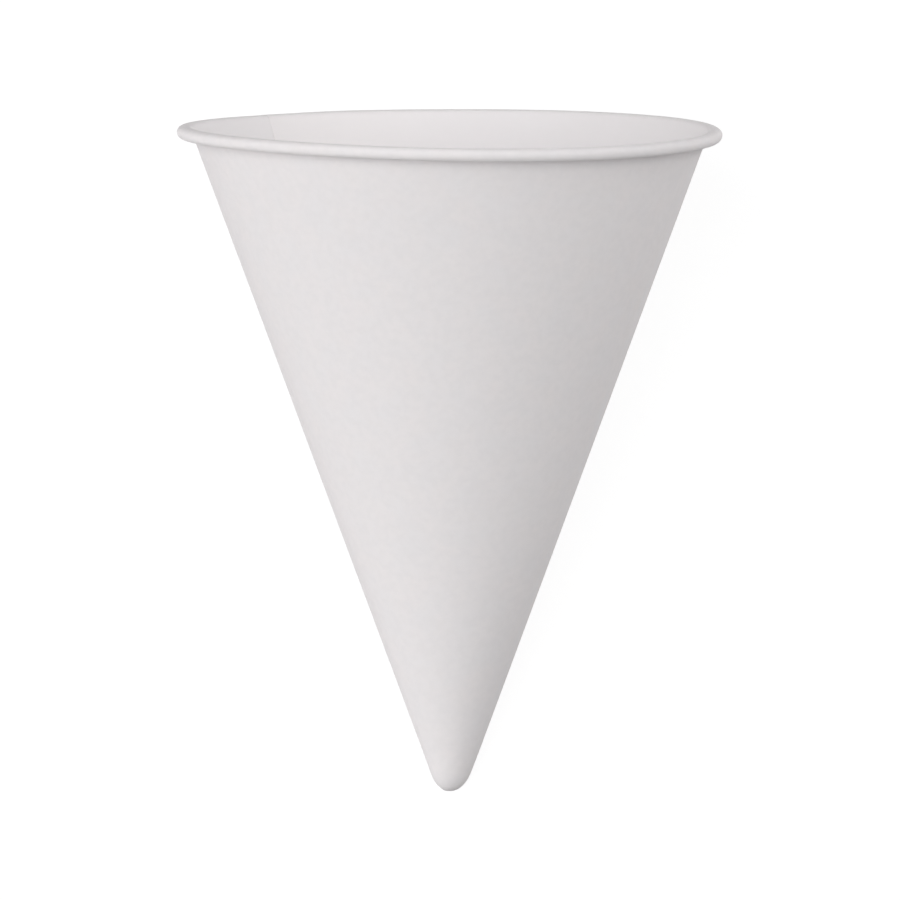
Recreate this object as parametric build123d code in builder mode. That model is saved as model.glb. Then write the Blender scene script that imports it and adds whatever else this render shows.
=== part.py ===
"""Cone paper cup: one wound sheet of paper with a glued lap, a rolled rim and a rounded tip.

The cup lies as it comes to rest, on its rim and its tip, with the lap underneath where its weight pulls it.
The floor is Z = 0, the mouth looks towards +Y and the tip towards -Y. All sizes are in millimetres.
"""

import os
from math import asin, atan2, cos, degrees, hypot, radians, sin

from build123d import *

# The cup as a whole
rim_diameter = 73.5  # over the rolled rim
cup_height = 90.6  # along the axis, from the dome of the tip to the top of the rim
tip_radius = 2.6  # outside of the rounded tip

# The sheet
paper_thickness = 0.22
lap_angle = 92.0  # how far the ends of the sheet overlap, in degrees round the cup
pressed_step = 0.02  # what still stands proud where a ply is pressed flush into the wall

# The rolled rim
bead_height = 1.76
bead_width = 2.16
shoulder_flats = 3  # narrow bands in which the paper turns from the wall to the crown of the bead
side_flats = 8  # the same from the crown round the side to the underside
curl_tuck = 30.0  # degrees that the free edge of the curl turns up behind the bead
lap_tuck = 40.0  # the same at the lap, where two plies reach further round

# The corner of the sheet, folded under the tip
fold_reach = 40.0  # degrees up the dome from its end
fold_turn = 10.0  # degrees round the axis that the fold's side edge is turned, from upright

# Middle line of the paper, as radius from the axis and height above the tip
half_paper = paper_thickness / 2
bead_radius = bead_height / 2
curl_radius = bead_radius - half_paper
dome_radius = tip_radius - half_paper
bead_level = cup_height - bead_radius
outer_curl = rim_diameter / 2 - bead_radius
inner_curl = outer_curl - (bead_width - bead_height)

# The wall touches the tip's dome from outside and the curl from inside, which sets its slope
wall_reach = hypot(inner_curl, bead_level - tip_radius)
wall_slope = degrees(
    atan2(inner_curl, bead_level - tip_radius) - asin((curl_radius + dome_radius) / wall_reach)
)

# Lying on the floor: one tangent plane under the doubled rim and the doubled tip
rest_reach = hypot(outer_curl, bead_level - tip_radius)
rest_slope = atan2(outer_curl, bead_level - tip_radius) - asin((tip_radius - bead_radius) / rest_reach)
tip_above_floor = tip_radius + half_paper - tip_radius * sin(rest_slope)
tip_end = tip_radius * cos(rest_slope) - tip_radius - paper_thickness
mouth_end = bead_level * cos(rest_slope) + outer_curl * sin(rest_slope) + bead_radius + half_paper
tip_from_middle = -(tip_end + mouth_end) / 2

# Half plane under the axis: its X runs out to the wall and its Y runs up the axis to the mouth
under_axis = Plane(
    origin=(0, tip_from_middle, tip_above_floor),
    x_dir=(0, sin(rest_slope), -cos(rest_slope)),
    z_dir=(1, 0, 0),
)
cup_axis = Axis(under_axis.origin, under_axis.y_dir)

# The lap leans from inside the wall at one edge of the sheet to outside it at the other
lap_lean = (half_paper - pressed_step) / sin(radians(lap_angle / 2))
lap_outer_edge = Plane(
    origin=under_axis.offset(lap_lean).origin,
    x_dir=under_axis.x_dir.rotate(cup_axis, -lap_angle / 2),
    z_dir=under_axis.z_dir.rotate(cup_axis, -lap_angle / 2),
)
lap_axis = Axis(lap_outer_edge.origin, lap_outer_edge.y_dir)

# The fold lies on one side of the axis, up to a level on the tip's dome
across_tip = Plane(origin=under_axis.from_local_coords((0, tip_radius, 0)), z_dir=(1, 0, 0))
fold_side_edge = Plane(origin=under_axis.origin, z_dir=under_axis.z_dir.rotate(cup_axis, fold_turn))
fold_level = tip_radius * (1 - cos(radians(fold_reach)))
fold_end_edge = Plane(origin=under_axis.from_local_coords((0, fold_level, 0)), z_dir=under_axis.y_dir)


def curl_points(tuck: float, offset: float) -> list[tuple[float, float]]:
    """Points round one face of the rolled rim, from the top of the wall to the free edge behind the bead.

    Args:
        tuck: how far the free edge turns up behind the bead, in degrees.
        offset: distance of that face from the middle line, positive to the outside of the roll.

    Returns:
        Each point as radius from the cup's axis and height above the tip.
    """
    reach = curl_radius + offset
    wall_angle = 180 - wall_slope
    shoulder_turn = (wall_angle - 90) / shoulder_flats
    side_turn = 180 / side_flats
    roll = [(inner_curl, wall_angle - shoulder_turn * flat) for flat in range(shoulder_flats + 1)]
    roll += [(outer_curl, 90 - side_turn * flat) for flat in range(side_flats + 1)]
    roll += [(inner_curl, -90), (inner_curl, -90 - tuck)]
    return [
        (centre + reach * cos(radians(angle)), bead_level + reach * sin(radians(angle)))
        for centre, angle in roll
    ]


def sheet_section(plane: Plane, thickness: float, tuck: float) -> Sketch:
    """Section of the sheet from the tip up the wall and round the rolled rim.

    Args:
        plane: half plane of the section, with its Y along the cup's axis and its origin at the tip.
        thickness: thickness of the paper there, one ply or two.
        tuck: how far the curl's free edge turns up behind the bead, in degrees.

    Returns:
        The section as a face.
    """
    half = thickness / 2
    with BuildSketch(plane) as section:
        with BuildLine():
            inner_dome = CenterArc((0, tip_radius), dome_radius - half, -90, 90 - wall_slope)
            outer_dome = CenterArc((0, tip_radius), dome_radius + half, -90, 90 - wall_slope)
            inner_face = Polyline(inner_dome @ 1, *curl_points(tuck, half))
            outer_face = Polyline(outer_dome @ 1, *curl_points(tuck, -half))
            Line(inner_face @ 1, outer_face @ 1)
            Line(inner_dome @ 0, outer_dome @ 0)
        make_face()
    return section.sketch


with BuildPart(across_tip) as tip_fold:
    Sphere(tip_radius + paper_thickness)
    Sphere(dome_radius, mode=Mode.SUBTRACT)
    split(bisect_by=fold_side_edge, keep=Keep.BOTTOM)
    split(bisect_by=fold_end_edge, keep=Keep.BOTTOM)

with BuildPart() as cone_cup:
    # One turn of the sheet
    revolve(sheet_section(under_axis, paper_thickness, curl_tuck), axis=cup_axis)

    # The lap, two plies from the sheet's outer edge round to its inner edge
    lap_section = sheet_section(lap_outer_edge, 2 * paper_thickness, lap_tuck)
    revolve(lap_section, axis=lap_axis, revolution_arc=lap_angle)

    # The corner of the sheet, a third ply folded over the end of the tip
    add(tip_fold)

cone_cup.part.label = "cone_cup"

os.makedirs("parts", exist_ok=True)
export_step(cone_cup.part, "parts/cone_cup.step")
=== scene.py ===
"""Cone paper cup, dressed for the camera: the wound sheet with its lap, rolled rim and folded tip.

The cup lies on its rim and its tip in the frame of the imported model, with the floor at Z = 0 and the mouth
towards +Y. The camera looks down on it, so that the picture shows it upright. Lengths are in metres and
angles in radians.
"""

import logging
import math
from collections.abc import Iterable
from dataclasses import dataclass, field, fields, replace
from enum import Enum

import bpy
import numpy as np
from mathutils import Matrix, Vector

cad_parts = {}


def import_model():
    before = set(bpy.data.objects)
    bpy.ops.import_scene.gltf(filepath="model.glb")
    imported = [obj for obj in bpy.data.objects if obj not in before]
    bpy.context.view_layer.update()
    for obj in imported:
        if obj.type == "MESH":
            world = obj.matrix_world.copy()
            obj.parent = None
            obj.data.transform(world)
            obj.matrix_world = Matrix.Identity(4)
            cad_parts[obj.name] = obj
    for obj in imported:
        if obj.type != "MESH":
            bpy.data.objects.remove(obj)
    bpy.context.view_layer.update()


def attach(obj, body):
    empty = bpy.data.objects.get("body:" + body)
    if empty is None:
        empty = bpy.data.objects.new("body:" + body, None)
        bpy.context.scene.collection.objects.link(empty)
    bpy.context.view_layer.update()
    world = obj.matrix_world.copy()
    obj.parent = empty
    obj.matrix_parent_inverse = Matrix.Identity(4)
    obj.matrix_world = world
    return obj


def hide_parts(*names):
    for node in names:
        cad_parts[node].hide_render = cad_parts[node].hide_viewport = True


LOG = logging.getLogger("cone_cup")
CUP_NODE = "cone_cup"
CUP_BODY = "root"

# Places of the colour sockets on Blender's Mix node
MIX_FIRST_COLOUR = 6
MIX_SECOND_COLOUR = 7
MIXED_COLOUR = 2

Socket = bpy.types.NodeSocket
Tone = tuple[float, float, float]
Span = tuple[float, float]


class SheetFace(Enum):
    """The two faces of the paper, by the side of its middle on which they lie."""

    INSIDE = -1
    OUTSIDE = 1


class Mark(Enum):
    """Named masks on the mesh that the paper's finish reads."""

    CUT_EDGE = "cut_edge"
    # Inner face: partly the paper's own whiter face, partly painted light standing in for light through the
    # paper
    INNER = "inner"
    LAP = "lap"
    # Painted shade on the tip's end
    NIB = "nib"


class Noise(Enum):
    """Kinds of noise, by Blender's names for them."""

    CLOUDY = "FBM"
    RIDGED = "RIDGED_MULTIFRACTAL"


class Sum(Enum):
    """Ways to combine two numbers, by Blender's names for them."""

    PLUS = "ADD"
    TIMES = "MULTIPLY"
    LARGER = "MAXIMUM"


def smooth_step(values: np.ndarray, low: float, high: float) -> np.ndarray:
    """Soft ramp between two limits.

    Args:
        values: numbers to place on the ramp.
        low: where the ramp leaves 0.
        high: where the ramp reaches 1.

    Returns:
        The ramp's height at each number, from 0 to 1.
    """
    share = np.clip((values - low) / (high - low), 0.0, 1.0)
    return share * share * (3.0 - 2.0 * share)


@dataclass(frozen=True)
class Grain:
    """A noise field: blotches in a metre, finer layers on the first, and the kind of noise."""

    per_metre: float
    layers: float
    kind: Noise = Noise.CLOUDY


@dataclass(frozen=True)
class NodeMaker:
    """Adds shader nodes to one node tree and joins them."""

    tree: bpy.types.NodeTree

    def add(self, kind: str, **settings: object) -> bpy.types.Node:
        """Adds a node.

        Args:
            kind: Blender's name for the kind of node.
            settings: properties of the node.

        Returns:
            The new node.
        """
        node = self.tree.nodes.new(kind)
        for name, value in settings.items():
            setattr(node, name, value)
        return node

    def join(self, source: Socket, target: Socket) -> None:
        """Joins an output to an input."""
        self.tree.links.new(source, target)

    def noise(self, place: Socket, grain: Grain) -> Socket:
        """Adds a noise field.

        Args:
            place: socket that gives the position.
            grain: the field's scale, layers and kind.

        Returns:
            The socket with the field's height.
        """
        node = self.add("ShaderNodeTexNoise", noise_dimensions="3D", noise_type=grain.kind.value)
        node.inputs["Scale"].default_value = grain.per_metre
        node.inputs["Detail"].default_value = grain.layers
        self.join(place, node.inputs["Vector"])
        return node.outputs[0]

    def ramp(self, source: Socket, limits: Span, ends: Span = (0.0, 1.0)) -> Socket:
        """Maps a range of numbers onto another range and stops at its ends.

        Args:
            source: socket with the numbers.
            limits: the range that is mapped.
            ends: the range onto which it is mapped.

        Returns:
            The socket with the mapped numbers.
        """
        node = self.add("ShaderNodeMapRange")
        for name, value in zip(("From Min", "From Max", "To Min", "To Max"), (*limits, *ends)):
            node.inputs[name].default_value = value
        self.join(source, node.inputs["Value"])
        return node.outputs["Result"]

    def combine(self, how: Sum, first: Socket, second: Socket | float) -> Socket:
        """Combines two numbers.

        Args:
            how: the way to combine them.
            first: socket with the first number.
            second: socket with the second number, or the number itself.

        Returns:
            The socket with the result.
        """
        node = self.add("ShaderNodeMath", operation=how.value)
        self.join(first, node.inputs[0])
        if isinstance(second, Socket):
            self.join(second, node.inputs[1])
        else:
            node.inputs[1].default_value = second
        return node.outputs[0]

    def blend(self, share: Socket, first: Socket | Tone, second: Tone) -> Socket:
        """Blends a colour into another.

        Args:
            share: socket with the share of the second colour.
            first: socket with the first colour, or the colour itself.
            second: the second colour.

        Returns:
            The socket with the blended colour.
        """
        node = self.add("ShaderNodeMix", data_type="RGBA")
        self.join(share, node.inputs["Factor"])
        if isinstance(first, Socket):
            self.join(first, node.inputs[MIX_FIRST_COLOUR])
        else:
            node.inputs[MIX_FIRST_COLOUR].default_value = (*first, 1.0)
        node.inputs[MIX_SECOND_COLOUR].default_value = (*second, 1.0)
        return node.outputs[MIXED_COLOUR]

    def seen_by_eye(self) -> Socket:
        """Tells what is seen, straight or in a gloss or through glass, from what only gives light.

        Returns:
            The socket that is 1 for what is seen.
        """
        path = self.add("ShaderNodeLightPath")
        seen = self.combine(Sum.LARGER, path.outputs["Is Camera Ray"], path.outputs["Is Glossy Ray"])
        return self.combine(Sum.LARGER, seen, path.outputs["Is Transmission Ray"])


@dataclass(frozen=True)
class MarkedTone:
    """A tone of the paper on one of the mesh's masks, and its share of the colour there."""

    mark: Mark
    tone: Tone
    share: float


@dataclass(frozen=True)
class CupPaper:
    """Uncoated white cup paper: cloudy formation, fine fibres, a soft tooth, an inner face that is whiter
    and carries painted light, and painted shade on the tip's end.
    """

    name: str = "cup_paper"
    cool_white: Tone = (0.838, 0.816, 0.824)
    warm_white: Tone = (0.852, 0.820, 0.822)
    fibre_grey: Tone = (0.800, 0.776, 0.782)
    marked_tones: tuple[MarkedTone, ...] = (
        # The inner face is lighter, partly as the paper's own whiter face and partly as painted light
        # standing in for light coming through the paper into the cup
        MarkedTone(Mark.INNER, (0.920, 0.896, 0.902), 0.8),
        # The lapped, backed ply on the inner face is lighter still, and its tone also carries the inner
        # face's painted light
        MarkedTone(Mark.LAP, (0.950, 0.920, 0.922), 0.9),
        # Painted shade on the tip's end, which faces away from the light
        MarkedTone(Mark.NIB, (0.740, 0.720, 0.728), 0.9),
        MarkedTone(Mark.CUT_EDGE, (0.790, 0.760, 0.745), 0.8),
    )
    clouds: Grain = Grain(260.0, 3.0)
    blotches: Grain = Grain(900.0, 4.0)
    fibres: Grain = Grain(1500.0, 5.0, Noise.RIDGED)
    tooth: Grain = Grain(5200.0, 3.0)
    cloud_range: Span = (0.32, 0.68)
    speck_range: Span = (0.38, 0.66)
    speck_share: float = 0.42
    tooth_range: Span = (0.3, 0.7)
    roughness: Span = (0.74, 0.90)
    sheen_of_size: float = 0.22
    fibre_relief: float = 0.35
    tooth_relief: float = 0.5
    blotch_relief: float = 0.9
    relief_strength: float = 1.0
    relief_depth: float = 0.000012

    def material(self) -> bpy.types.Material:
        """Makes the paper's material.

        Returns:
            A node material for the whole sheet.
        """
        paper = bpy.data.materials.new(self.name)
        paper.use_nodes = True
        paper.node_tree.nodes.clear()
        make = NodeMaker(paper.node_tree)
        place = make.add("ShaderNodeTexCoord").outputs["Object"]
        clouds = make.noise(place, self.clouds)
        blotches = make.noise(place, self.blotches)
        fibres = make.noise(place, self.fibres)
        tooth = make.noise(place, self.tooth)

        # Clouds of two whites with grey specks, and then the tones of the marked places, among them painted
        # light on the inner face and painted shade on the tip's end
        colour = make.blend(make.ramp(clouds, self.cloud_range), self.cool_white, self.warm_white)
        specks = make.ramp(blotches, self.speck_range, (0.0, self.speck_share))
        colour = make.blend(specks, colour, self.fibre_grey)
        for marked in self.marked_tones:
            mask = make.add("ShaderNodeAttribute", attribute_name=marked.mark.value).outputs["Fac"]
            colour = make.blend(make.combine(Sum.TIMES, mask, marked.share), colour, marked.tone)

        # Fibres, tooth and blotches stand up from the sheet together
        relief = make.combine(Sum.TIMES, fibres, self.fibre_relief)
        relief = make.combine(Sum.PLUS, relief, make.combine(Sum.TIMES, tooth, self.tooth_relief))
        relief = make.combine(Sum.PLUS, relief, make.combine(Sum.TIMES, blotches, self.blotch_relief))
        bump = make.add("ShaderNodeBump")
        bump.inputs["Strength"].default_value = self.relief_strength
        bump.inputs["Distance"].default_value = self.relief_depth
        make.join(relief, bump.inputs["Height"])

        surface = make.add("ShaderNodeBsdfPrincipled")
        surface.inputs["Specular IOR Level"].default_value = self.sheen_of_size
        make.join(colour, surface.inputs["Base Color"])
        make.join(make.ramp(tooth, self.tooth_range, self.roughness), surface.inputs["Roughness"])
        make.join(bump.outputs["Normal"], surface.inputs["Normal"])
        make.join(surface.outputs["BSDF"], make.add("ShaderNodeOutputMaterial").inputs["Surface"])
        return paper


@dataclass(frozen=True)
class StudioFloor:
    """Pale matt floor that looks white to the camera and keeps the cup's soft shadow."""

    name: str = "studio_floor"
    matt_white: Tone = (0.60, 0.59, 0.59)
    clouds: Grain = Grain(6.0, 2.0)
    cloud_range: Span = (0.3, 0.7)
    cloud_shade: float = 0.99
    shadow_white: Tone = (0.16, 0.16, 0.16)
    glow: float = 0.90

    def material(self) -> bpy.types.Material:
        """Makes the floor's material.

        Returns:
            A node material that lights the cup as matt white and shows white around its shadow.
        """
        floor = bpy.data.materials.new(self.name)
        floor.use_nodes = True
        floor.node_tree.nodes.clear()
        make = NodeMaker(floor.node_tree)

        # What the floor throws back onto the cup
        place = make.add("ShaderNodeTexCoord").outputs["Object"]
        clouds = make.ramp(make.noise(place, self.clouds), self.cloud_range)
        shaded = tuple(self.cloud_shade * part for part in self.matt_white)
        bounce = make.add("ShaderNodeBsdfDiffuse")
        make.join(make.blend(clouds, self.matt_white, shaded), bounce.inputs["Color"])

        # What is seen of the floor
        shadow = make.add("ShaderNodeBsdfDiffuse")
        shadow.inputs["Color"].default_value = (*self.shadow_white, 1.0)
        glow = make.add("ShaderNodeEmission")
        glow.inputs["Strength"].default_value = self.glow
        seen = make.add("ShaderNodeAddShader")
        make.join(shadow.outputs[0], seen.inputs[0])
        make.join(glow.outputs[0], seen.inputs[1])

        pick = make.add("ShaderNodeMixShader")
        make.join(make.seen_by_eye(), pick.inputs[0])
        make.join(bounce.outputs[0], pick.inputs[1])
        make.join(seen.outputs[0], pick.inputs[2])
        make.join(pick.outputs[0], make.add("ShaderNodeOutputMaterial").inputs["Surface"])
        return floor


@dataclass(frozen=True)
class Stretch:
    """A run of points along the sheet's section, from the tip towards the free edge."""

    radius: np.ndarray
    height: np.ndarray
    out_radius: np.ndarray
    out_height: np.ndarray
    along_wall: np.ndarray
    inner: np.ndarray
    nib: np.ndarray


@dataclass(frozen=True)
class SheetSection:
    """Section of the sheet through the cup's axis, by radius from the axis and height above the tip."""

    rim_diameter: float = 0.0735
    cup_height: float = 0.0906
    tip_radius: float = 0.0026
    paper: float = 0.00022
    bead_height: float = 0.00176
    bead_width: float = 0.00216
    curl_tuck: float = math.radians(34.0)
    crown_press: float = 0.10
    # Where the inner face's whiter tone and painted light fade out over the roll's crown
    inner_fade: Span = (0.2, 0.9)
    pin_hole: float = 0.00002
    toe_length: float = 0.0050
    # Height below which the tip's end is painted with shade, and the length over which that shade fades
    tip_shade_level: float = 0.0004
    tip_shade_fade: float = 0.0005
    toe_points: int = 26
    wall_points: int = 44
    shoulder_points: int = 9
    side_points: int = 22
    tuck_points: int = 5

    @property
    def curl_radius(self) -> float:
        """Radius of the roll's middle line."""
        return (self.bead_height - self.paper) / 2

    @property
    def dome_radius(self) -> float:
        """Radius of the tip's middle line."""
        return self.tip_radius - self.paper / 2

    @property
    def bead_level(self) -> float:
        """Height of the roll's centre."""
        return self.cup_height - self.bead_height / 2

    @property
    def outer_curl(self) -> float:
        """Radius at which the outer half of the roll is centred."""
        return (self.rim_diameter - self.bead_height) / 2

    @property
    def inner_curl(self) -> float:
        """Radius at which the inner half of the roll is centred."""
        return self.outer_curl - (self.bead_width - self.bead_height)

    @property
    def slope(self) -> float:
        """Angle between the wall and the axis, set by the dome and the roll that the wall touches.

        Returns:
            The wall's angle.
        """
        rise = self.bead_level - self.tip_radius
        touching = (self.curl_radius + self.dome_radius) / math.hypot(self.inner_curl, rise)
        return math.atan2(self.inner_curl, rise) - math.asin(touching)

    @property
    def rest_slope(self) -> float:
        """Angle between the axis and the floor when the cup lies on its rim and its tip.

        Returns:
            The axis's angle.
        """
        rise = self.bead_level - self.tip_radius
        touching = (self.tip_radius - self.bead_height / 2) / math.hypot(self.outer_curl, rise)
        return math.atan2(self.outer_curl, rise) - math.asin(touching)

    def toe(self) -> Stretch:
        """The rounded tip, half of an ellipse that runs into the wall.

        Returns:
            The points of the stretch, from the axis to the wall.
        """
        taper = math.tan(self.slope)
        cone_end = self.dome_radius / math.sin(self.slope) - self.dome_radius
        half_width = taper * math.sqrt(cone_end * (cone_end + 2.0 * self.toe_length))
        last = math.atan2(half_width, taper * self.toe_length)
        turns = np.linspace(self.pin_hole / half_width, last, self.toe_points)
        height = self.paper / 2 + self.toe_length * (1.0 - np.cos(turns))
        out_radius = np.sin(turns) / half_width
        out_height = -np.cos(turns) / self.toe_length
        length = np.hypot(out_radius, out_height)
        return Stretch(
            radius=half_width * np.sin(turns),
            height=height,
            out_radius=out_radius / length,
            out_height=out_height / length,
            along_wall=np.zeros(self.toe_points),
            inner=np.ones(self.toe_points),
            # Painted shade, darker towards the end of the tip
            nib=1.0 - smooth_step(height, self.tip_shade_level, self.tip_shade_level + self.tip_shade_fade),
        )

    def wall(self, toe: Stretch, shoulder: Stretch) -> Stretch:
        """The straight wall between the tip and the rolled rim.

        Args:
            toe: the stretch below it.
            shoulder: the stretch above it.

        Returns:
            The points of the stretch, without those that it shares with its neighbours.
        """
        share = np.linspace(0.0, 1.0, self.wall_points + 2)[1:-1]
        return Stretch(
            radius=toe.radius[-1] + share * (shoulder.radius[0] - toe.radius[-1]),
            height=toe.height[-1] + share * (shoulder.height[0] - toe.height[-1]),
            out_radius=np.full(self.wall_points, math.cos(self.slope)),
            out_height=np.full(self.wall_points, -math.sin(self.slope)),
            along_wall=share,
            inner=np.ones(self.wall_points),
            nib=np.zeros(self.wall_points),
        )

    def roll(self, centre: float, start: float, end: float, points: int) -> Stretch:
        """A round stretch of the rolled rim.

        Args:
            centre: radius at which the stretch is centred.
            start: angle of its first point, from straight out.
            end: angle of its last point.
            points: how many points it has.

        Returns:
            The points of the stretch.
        """
        angles = np.linspace(start, end, points)
        cosines = np.cos(angles)
        sines = np.sin(angles)
        return Stretch(
            radius=centre + self.curl_radius * cosines,
            height=self.bead_level + self.curl_radius * sines,
            out_radius=-cosines,
            out_height=-sines,
            along_wall=np.ones(points),
            inner=smooth_step(-cosines, *self.inner_fade),
            nib=np.zeros(points),
        )

    def whole(self) -> Stretch:
        """The whole section, from the tip up the wall and round the rolled rim.

        Returns:
            The points of the section in order, with the crown of the roll pressed flatter.
        """
        quarter = math.pi / 2
        toe = self.toe()
        shoulder = self.roll(self.inner_curl, math.pi - self.slope, quarter, self.shoulder_points)
        side = self.roll(self.outer_curl, quarter, -quarter, self.side_points)
        tuck = self.roll(self.inner_curl, -quarter, -quarter - self.curl_tuck, self.tuck_points)
        runs = (toe, self.wall(toe, shoulder), shoulder, side, tuck)
        names = [part.name for part in fields(Stretch)]
        joined = Stretch(**{name: np.concatenate([getattr(run, name) for run in runs]) for name in names})
        over = np.maximum(joined.height - self.bead_level, 0.0)
        return replace(joined, height=joined.height - self.crown_press * over)


@dataclass
class MeshParts:
    """Vertices, faces and masks of a mesh while it is put together."""

    points: list[np.ndarray] = field(default_factory=list)
    faces: list[np.ndarray] = field(default_factory=list)
    count: int = 0
    marks: dict[Mark, list[np.ndarray]] = field(default_factory=lambda: {mark: [] for mark in Mark})

    def grid(self, places: np.ndarray, flip: bool, marks: dict[Mark, np.ndarray | float]) -> None:
        """Adds a grid of points with a face in each of its cells.

        Args:
            places: points in rows and columns.
            flip: whether the faces look the other way.
            marks: masks that aren't 0 there, as one number or as an array that fits the grid.
        """
        rows, columns, _ = places.shape
        index = self.count + np.arange(rows * columns).reshape(rows, columns)
        corners = [index[:-1, :-1], index[1:, :-1], index[1:, 1:], index[:-1, 1:]]
        cells = np.stack(corners, axis=-1).reshape(-1, 4)
        self.points.append(places.reshape(-1, 3))
        self.faces.append(cells[:, ::-1] if flip else cells)
        for mark, values in self.marks.items():
            values.append(np.broadcast_to(marks.get(mark, 0.0), (rows, columns)).reshape(-1))
        self.count += rows * columns

    def mesh(self, name: str, crease: float) -> bpy.types.Mesh:
        """Makes the mesh.

        Args:
            name: name of the mesh.
            crease: angle from which an edge stays sharp.

        Returns:
            The mesh, smooth between its sharp edges.
        """
        mesh = bpy.data.meshes.new(name)
        mesh.from_pydata(np.concatenate(self.points).tolist(), [], np.concatenate(self.faces).tolist())
        for mark, values in self.marks.items():
            layer = mesh.attributes.new(mark.value, "FLOAT", "POINT")
            layer.data.foreach_set("value", np.concatenate(values).astype(np.float32))
        mesh.update()
        mesh.shade_smooth()
        mesh.set_sharp_from_angle(angle=crease)
        return mesh


@dataclass
class WoundCup:
    """The cup: a sheet wound a turn and a quarter, lapped underneath, with a corner folded at the tip."""

    name: str = "paper_cup"
    section: SheetSection = field(default_factory=SheetSection)
    paper: CupPaper = field(default_factory=CupPaper)
    crease: float = math.radians(40.0)

    # The lap and its thinned edges
    lap_angle: float = math.radians(92.0)
    lap_fade: Span = (0.1, 0.6)
    ply_gap: float = 0.000006
    inner_press: float = math.radians(25.0)
    outer_press: float = math.radians(3.0)
    edge_thickness_share: float = 0.15
    columns: int = 300
    edge_columns: int = 6

    # How the light paper departs from a true cone
    rim_sink: float = 0.00012
    rim_lean: float = 0.00029
    rim_wave: float = 0.00025
    rim_wave_turn: float = math.radians(31.4)
    wave_depth: float = 0.00005
    wave_lobes: tuple[int, ...] = (2, 3, 5, 7)
    wave_rises: Span = (0.6, 2.4)
    wave_seed: int = 7
    tip_lean: float = 0.00014
    tip_bend: float = 0.0060
    tip_settle: float = 0.0018
    tip_ply: float = 0.10

    # The corner of the sheet, folded over the end of the tip
    fold_reach: float = math.radians(38.0)
    fold_turn: float = math.radians(10.0)
    fold_corner: float = 0.985
    fold_side_rise: float = 0.65
    fold_end_rise: float = 0.75
    fold_depth: float = 0.00010
    fold_sunk: float = 0.1
    fold_rows: int = 49
    fold_columns: int = 25

    @property
    def axis(self) -> np.ndarray:
        """Direction of the cup's axis, from the tip to the mouth."""
        return np.array((0.0, math.cos(self.section.rest_slope), math.sin(self.section.rest_slope)))

    @property
    def down(self) -> np.ndarray:
        """Direction square to the axis, towards the floor."""
        return np.array((0.0, math.sin(self.section.rest_slope), -math.cos(self.section.rest_slope)))

    @property
    def tip(self) -> np.ndarray:
        """The end of the tip's dome, on the axis.

        Returns:
            The point from which heights are counted.
        """
        cup = self.section
        slope = cup.rest_slope
        above = cup.tip_radius + cup.paper / 2 - cup.tip_radius * math.sin(slope)
        tip_end = cup.tip_radius * math.cos(slope) - cup.tip_radius - cup.paper
        mouth_end = cup.bead_level * math.cos(slope) + cup.outer_curl * math.sin(slope)
        mouth_end += (cup.bead_height + cup.paper) / 2
        return np.array((0.0, -(tip_end + mouth_end) / 2, above))

    def on_axis(self, height: float) -> np.ndarray:
        """Point of the axis at a height above the tip."""
        return self.tip + height * self.axis

    def outward(self, turn: np.ndarray) -> np.ndarray:
        """Direction away from the axis.

        Args:
            turn: angle round the axis from straight down, towards -X.

        Returns:
            A direction for each angle, in a new last dimension.
        """
        return np.cos(turn)[..., None] * self.down - np.sin(turn)[..., None] * np.array((1.0, 0.0, 0.0))

    def unevenness(self, turn: np.ndarray, height: np.ndarray) -> np.ndarray:
        """How far the light paper stands inside the true cone.

        Args:
            turn: angle round the axis of each column.
            height: height above the tip of each row.

        Returns:
            A depth for each row and column.
        """
        numbers = np.random.default_rng(self.wave_seed)
        share = (height / self.section.cup_height)[:, None]
        total = np.zeros((len(height), len(turn)))
        for lobes in self.wave_lobes:
            first, second = numbers.uniform(0, 2 * math.pi, 2)
            rises = numbers.uniform(*self.wave_rises)
            round_axis = np.sin(lobes * turn[None, :] + first)
            up_wall = np.sin(2 * math.pi * rises * share + second)
            total += round_axis * up_wall / lobes**0.5
        return self.wave_depth * share * (total - total.min()) / (total.max() - total.min())

    def rim_drop(self, turn: np.ndarray) -> np.ndarray:
        """How far the light rim lies below its true level.

        Args:
            turn: angle round the axis of each column.

        Returns:
            A drop along the axis for each column.
        """
        wave = self.rim_wave * np.cos(2.0 * (turn - self.rim_wave_turn))
        return self.rim_sink - self.rim_lean * np.sin(turn) + wave

    def lean(self, height: np.ndarray) -> np.ndarray:
        """How far the light tip leans to one side.

        Args:
            height: heights above the tip.

        Returns:
            A shift for each height, in a new last dimension.
        """
        share = np.clip(1.0 - height / self.tip_bend, 0.0, 1.0)
        return self.tip_lean * (share * share)[..., None] * np.array((-1.0, 0.0, 0.0))

    def winding(self) -> np.ndarray:
        """How far round the sheet each column of the mesh is, with more columns at its two pressed edges.

        Returns:
            Angles from the sheet's inner edge.
        """
        whole = 2 * math.pi + self.lap_angle
        edge = np.linspace(0.0, self.outer_press, self.edge_columns, endpoint=False)
        body = np.linspace(self.outer_press, whole - self.outer_press, self.columns)
        return np.concatenate([edge, body, whole - edge[::-1]])

    def sheet(self, parts: MeshParts) -> None:
        """Adds the wound sheet with its two faces and its cut edges.

        Args:
            parts: mesh that takes the sheet.
        """
        cup = self.section
        run = cup.whole()
        wound = self.winding()
        turn = self.lap_angle / 2 - wound
        outward = self.outward(turn)[None, :, :]

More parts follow.
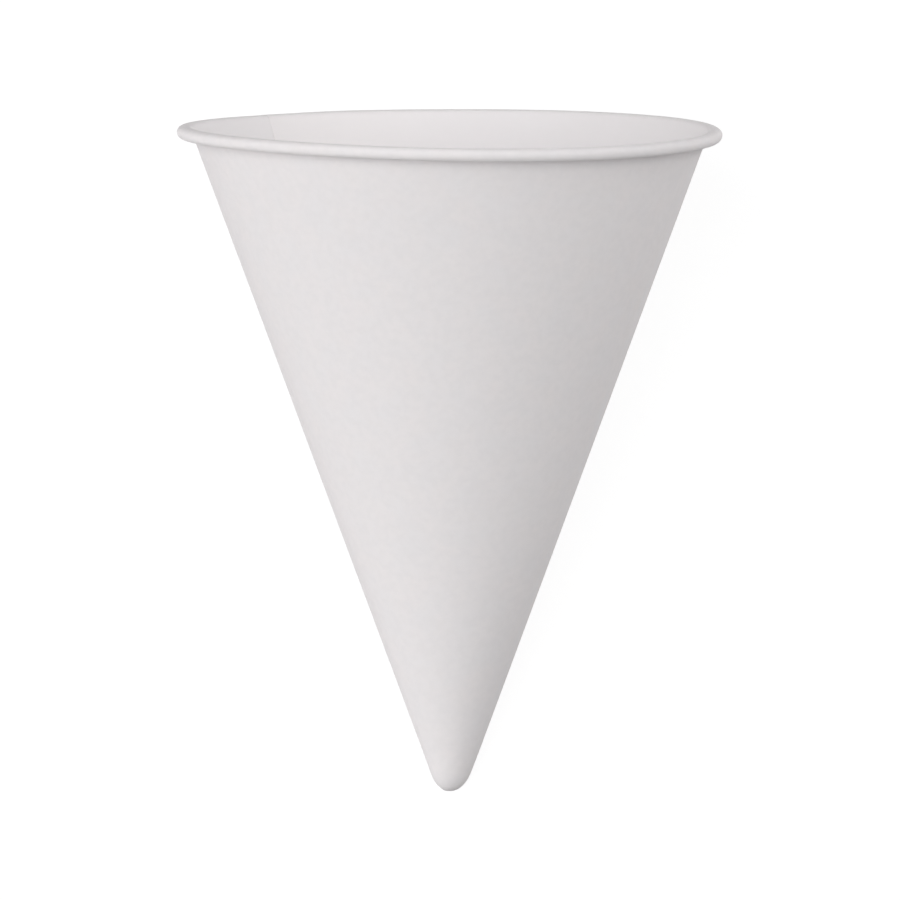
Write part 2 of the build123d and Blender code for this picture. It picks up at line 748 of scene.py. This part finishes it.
        # The middle of the sheet, where a single ply would lie
        drop = run.along_wall[:, None] * self.rim_drop(turn)[None, :]
        tucked_in = drop * math.tan(cup.rest_slope) * np.maximum(np.cos(turn), 0.0)[None, :]
        radius = run.radius[:, None] - tucked_in - self.unevenness(turn, run.height)
        height = run.height[:, None] - drop
        middle = self.tip + self.lean(height) + radius[..., None] * outward
        middle = middle + height[..., None] * self.axis
        normal = run.out_radius[:, None, None] * outward + run.out_height[:, None, None] * self.axis

        # Inwards along the lap for the ply that lies inside, and outwards for the one over it
        lapped = np.clip(wound / self.lap_angle, 0.0, 1.0)
        covering = np.clip((wound - 2 * math.pi) / self.lap_angle, 0.0, 1.0)
        settled = self.tip_ply + (1.0 - self.tip_ply) * smooth_step(run.radius, 0.0, self.tip_settle)
        ply = cup.paper * settled[:, None] * (covering - (1.0 - lapped))[None, :]

        thickness = cup.paper - self.ply_gap
        thinned = thickness * (1.0 - self.edge_thickness_share)
        lap_edges = (
            (SheetFace.INSIDE, wound, self.inner_press),
            (SheetFace.OUTSIDE, wound[-1] - wound, self.outer_press),
        )
        faces = {}
        for face, from_edge, pressed in lap_edges:
            press = thinned * (1.0 - smooth_step(from_edge, 0.0, pressed))
            offset = ply + face.value * (thickness / 2 - press)[None, :]
            faces[face] = middle + offset[..., None] * normal
            # Inner face mask: the paper's own whiter face plus painted light standing in for light through
            # the paper
            inner = run.inner[:, None] * (face is SheetFace.INSIDE)
            backed = inner * (1.0 - smooth_step(from_edge / self.lap_angle, *self.lap_fade))[None, :]
            marks = {Mark.INNER: inner, Mark.LAP: backed, Mark.NIB: run.nib[:, None]}
            parts.grid(faces[face], face is SheetFace.INSIDE, marks)

        outside = faces[SheetFace.OUTSIDE]
        inside = faces[SheetFace.INSIDE]
        raw = {Mark.CUT_EDGE: 1.0}
        parts.grid(np.stack([outside[:, 0], inside[:, 0]]), True, raw)
        parts.grid(np.stack([outside[:, -1], inside[:, -1]]), False, raw)
        parts.grid(np.stack([outside[-1], inside[-1]]), True, raw)

    def tip_fold(self, parts: MeshParts) -> None:
        """Adds the corner of the sheet, folded over the end of the tip.

        Args:
            parts: mesh that takes the fold.
        """
        cup = self.section
        run = cup.whole()

        # Half a disc of places, by their way from the tip's end and their bearing round the axis
        across = np.linspace(-self.fold_corner, self.fold_corner, self.fold_rows)[:, None]
        away = np.linspace(0.0, 1.0, self.fold_columns)[None, :]
        along_edge = self.fold_reach * across * np.ones_like(away)
        from_edge = self.fold_reach * away * np.sqrt(1.0 - across**2)
        polar = np.hypot(along_edge, from_edge)
        outward = self.outward(self.fold_turn + np.arctan2(from_edge, along_edge))

        # The same places on the middle of the sheet
        step = np.hypot(np.diff(run.radius), np.diff(run.height))
        walked = np.concatenate([[0.0], np.cumsum(step)]) / cup.tip_radius
        height = np.interp(polar, walked, run.height)
        middle = self.tip + self.lean(height) + np.interp(polar, walked, run.radius)[..., None] * outward
        middle = middle + height[..., None] * self.axis
        normal = np.interp(polar, walked, run.out_radius)[..., None] * outward
        normal = normal + np.interp(polar, walked, run.out_height)[..., None] * self.axis

        # A soft swell whose border lies just under the face of the sheet
        from_side = smooth_step(away, 0.0, self.fold_side_rise)
        from_end = smooth_step(1.0 - polar / self.fold_reach, 0.0, self.fold_end_rise)
        swell = from_side * from_end
        raised = cup.paper / 2 + self.fold_depth * (swell - self.fold_sunk)
        outer = middle + raised[..., None] * normal

        # The whole folded corner carries the tip's painted shade
        pressed = {Mark.NIB: 1.0}
        parts.grid(outer, False, pressed)
        parts.grid(middle, True, pressed)
        borders = (
            (np.s_[0, :], False),
            (np.s_[-1, :], True),
            (np.s_[:, 0], True),
            (np.s_[:, -1], False),
        )
        for border, flip in borders:
            parts.grid(np.stack([outer[border], middle[border]]), flip, pressed)

    def build(self) -> bpy.types.Object:
        """Builds the cup's mesh and dresses it in paper.

        Returns:
            The cup, riding on its body in place of its solid.
        """
        parts = MeshParts()
        self.sheet(parts)
        self.tip_fold(parts)
        cup = bpy.data.objects.new(self.name, parts.mesh(self.name, self.crease))
        bpy.context.scene.collection.objects.link(cup)
        cup.data.materials.append(self.paper.material())
        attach(cup, CUP_BODY)
        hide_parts(CUP_NODE)
        return cup


@dataclass(frozen=True)
class SoftLamp:
    """A broad round lamp, placed by the picture: round the cup to the left, and up towards the mouth."""

    name: str
    strength: float
    to_left: float
    rise: float
    spread: float
    distance: float


@dataclass
class Studio:
    """White floor, soft light from the left, the front and the right, and the camera of the picture."""

    cup: WoundCup
    floor: StudioFloor = field(default_factory=StudioFloor)
    floor_size: float = 6.0
    floor_drop: float = 0.00002
    room_light: float = 0.30
    room_edge: float = 0.15
    lamps: tuple[SoftLamp, ...] = (
        SoftLamp(
            name="key",
            strength=2.07,
            to_left=math.radians(41.0),
            rise=math.radians(1.0),
            spread=math.radians(70.0),
            distance=4.0,
        ),
        SoftLamp(
            name="front",
            strength=0.385,
            to_left=math.radians(10.0),
            rise=math.radians(12.0),
            spread=math.radians(40.0),
            distance=4.0,
        ),
        SoftLamp(
            name="right front",
            strength=0.610,
            to_left=math.radians(-50.0),
            rise=math.radians(10.0),
            spread=math.radians(40.0),
            distance=0.6,
        ),
        SoftLamp(
            name="right side",
            strength=0.640,
            to_left=math.radians(-80.0),
            rise=math.radians(30.0),
            spread=math.radians(40.0),
            distance=0.6,
        ),
    )
    camera_distance: float = 1.0
    camera_rise: float = math.radians(4.18)
    camera_roll: float = math.radians(-0.13)
    aim_height: float = 0.0467
    aim_side: float = -0.00005
    lens: float = 296.75
    sensor: float = 36.0
    nearest_seen: float = 0.01

    def lay_floor(self) -> bpy.types.Object:
        """Lays the floor just under the cup.

        Returns:
            The floor, which is not part of the cup.
        """
        half = self.floor_size / 2
        corners = [(-half, -half, 0.0), (half, -half, 0.0), (half, half, 0.0), (-half, half, 0.0)]
        mesh = bpy.data.meshes.new("floor")
        mesh.from_pydata(corners, [], [(0, 1, 2, 3)])
        floor = bpy.data.objects.new("floor", mesh)
        floor.location.z = -self.floor_drop
        bpy.context.scene.collection.objects.link(floor)
        floor.data.materials.append(self.floor.material())
        return floor

    def fill_room(self) -> bpy.types.World:
        """Fills the room with soft light from the mouth's side and shows it white.

        Returns:
            The world of the scene.
        """
        world = bpy.data.worlds.new("white_room")
        world.use_nodes = True
        world.node_tree.nodes.clear()
        make = NodeMaker(world.node_tree)
        towards_mouth = make.add("ShaderNodeVectorMath", operation="DOT_PRODUCT")
        make.join(make.add("ShaderNodeTexCoord").outputs["Generated"], towards_mouth.inputs[0])
        towards_mouth.inputs[1].default_value = self.cup.axis
        edge = (-self.room_edge, self.room_edge)
        lit = make.ramp(towards_mouth.outputs["Value"], edge, (0.0, self.room_light))
        room = make.add("ShaderNodeBackground")
        room.inputs["Color"].default_value = (1.0, 1.0, 1.0, 1.0)
        make.join(make.combine(Sum.LARGER, lit, make.seen_by_eye()), room.inputs["Strength"])
        make.join(room.outputs[0], make.add("ShaderNodeOutputWorld").inputs["Surface"])
        bpy.context.scene.world = world
        return world

    def hang(self, lamp: SoftLamp) -> bpy.types.Object:
        """Hangs a lamp.

        Args:
            lamp: the lamp and its place round the cup.

        Returns:
            The lamp in the scene.
        """
        side = np.array((-math.sin(lamp.to_left), 0.0, 0.0)) - math.cos(lamp.to_left) * self.cup.down
        towards = math.cos(lamp.rise) * side + math.sin(lamp.rise) * self.cup.axis
        light = bpy.data.lights.new(lamp.name, "AREA")
        light.shape = "DISK"
        light.size = 2.0 * lamp.distance * math.tan(lamp.spread / 2)
        light.energy = lamp.strength * math.pi * (lamp.distance / math.cos(lamp.spread / 2)) ** 2
        hung = bpy.data.objects.new(lamp.name, light)
        hung.location = self.cup.on_axis(self.cup.section.bead_level) + lamp.distance * towards
        hung.rotation_euler = Vector(towards).to_track_quat("Z", "Y").to_euler()
        bpy.context.scene.collection.objects.link(hung)
        return hung

    def set_camera(self) -> bpy.types.Object:
        """Sets the camera so that the lying cup stands upright in the picture.

        Returns:
            The camera.
        """
        away = math.sin(self.camera_rise) * self.cup.axis - math.cos(self.camera_rise) * self.cup.down
        stand = self.cup.on_axis(self.cup.section.bead_level) + self.camera_distance * away
        aim = self.cup.on_axis(self.aim_height) + np.array((self.aim_side, 0.0, 0.0))
        look = Vector(aim - stand).normalized()
        right = look.cross(Vector(self.cup.axis)).normalized()
        up = right.cross(look)
        facing = Matrix((right, up, -look)).transposed() @ Matrix.Rotation(self.camera_roll, 3, "Z")
        lens = bpy.data.cameras.new("camera")
        lens.lens = self.lens
        lens.sensor_width = self.sensor
        lens.clip_start = self.nearest_seen
        camera = bpy.data.objects.new("camera", lens)
        camera.matrix_world = Matrix.Translation(Vector(stand)) @ facing.to_4x4()
        bpy.context.scene.collection.objects.link(camera)
        bpy.context.scene.camera = camera
        return camera

    def build(self) -> list[bpy.types.ID]:
        """Sets up the floor, the room, the lamps and the camera.

        Returns:
            What was set up, in order.
        """
        return [self.lay_floor(), self.fill_room(), *map(self.hang, self.lamps), self.set_camera()]


def main() -> None:
    """Builds the cup and its studio in order."""
    logging.basicConfig(level=logging.INFO, format="%(name)s: %(message)s")
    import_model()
    bpy.context.scene.view_settings.view_transform = "Standard"

    cup = WoundCup()
    piece = cup.build()
    LOG.info("%s: %d faces", piece.name, len(piece.data.polygons))
    for staged in Studio(cup).build():
        LOG.info("studio: %s", staged.name)


if __name__ == "__main__":
    main()
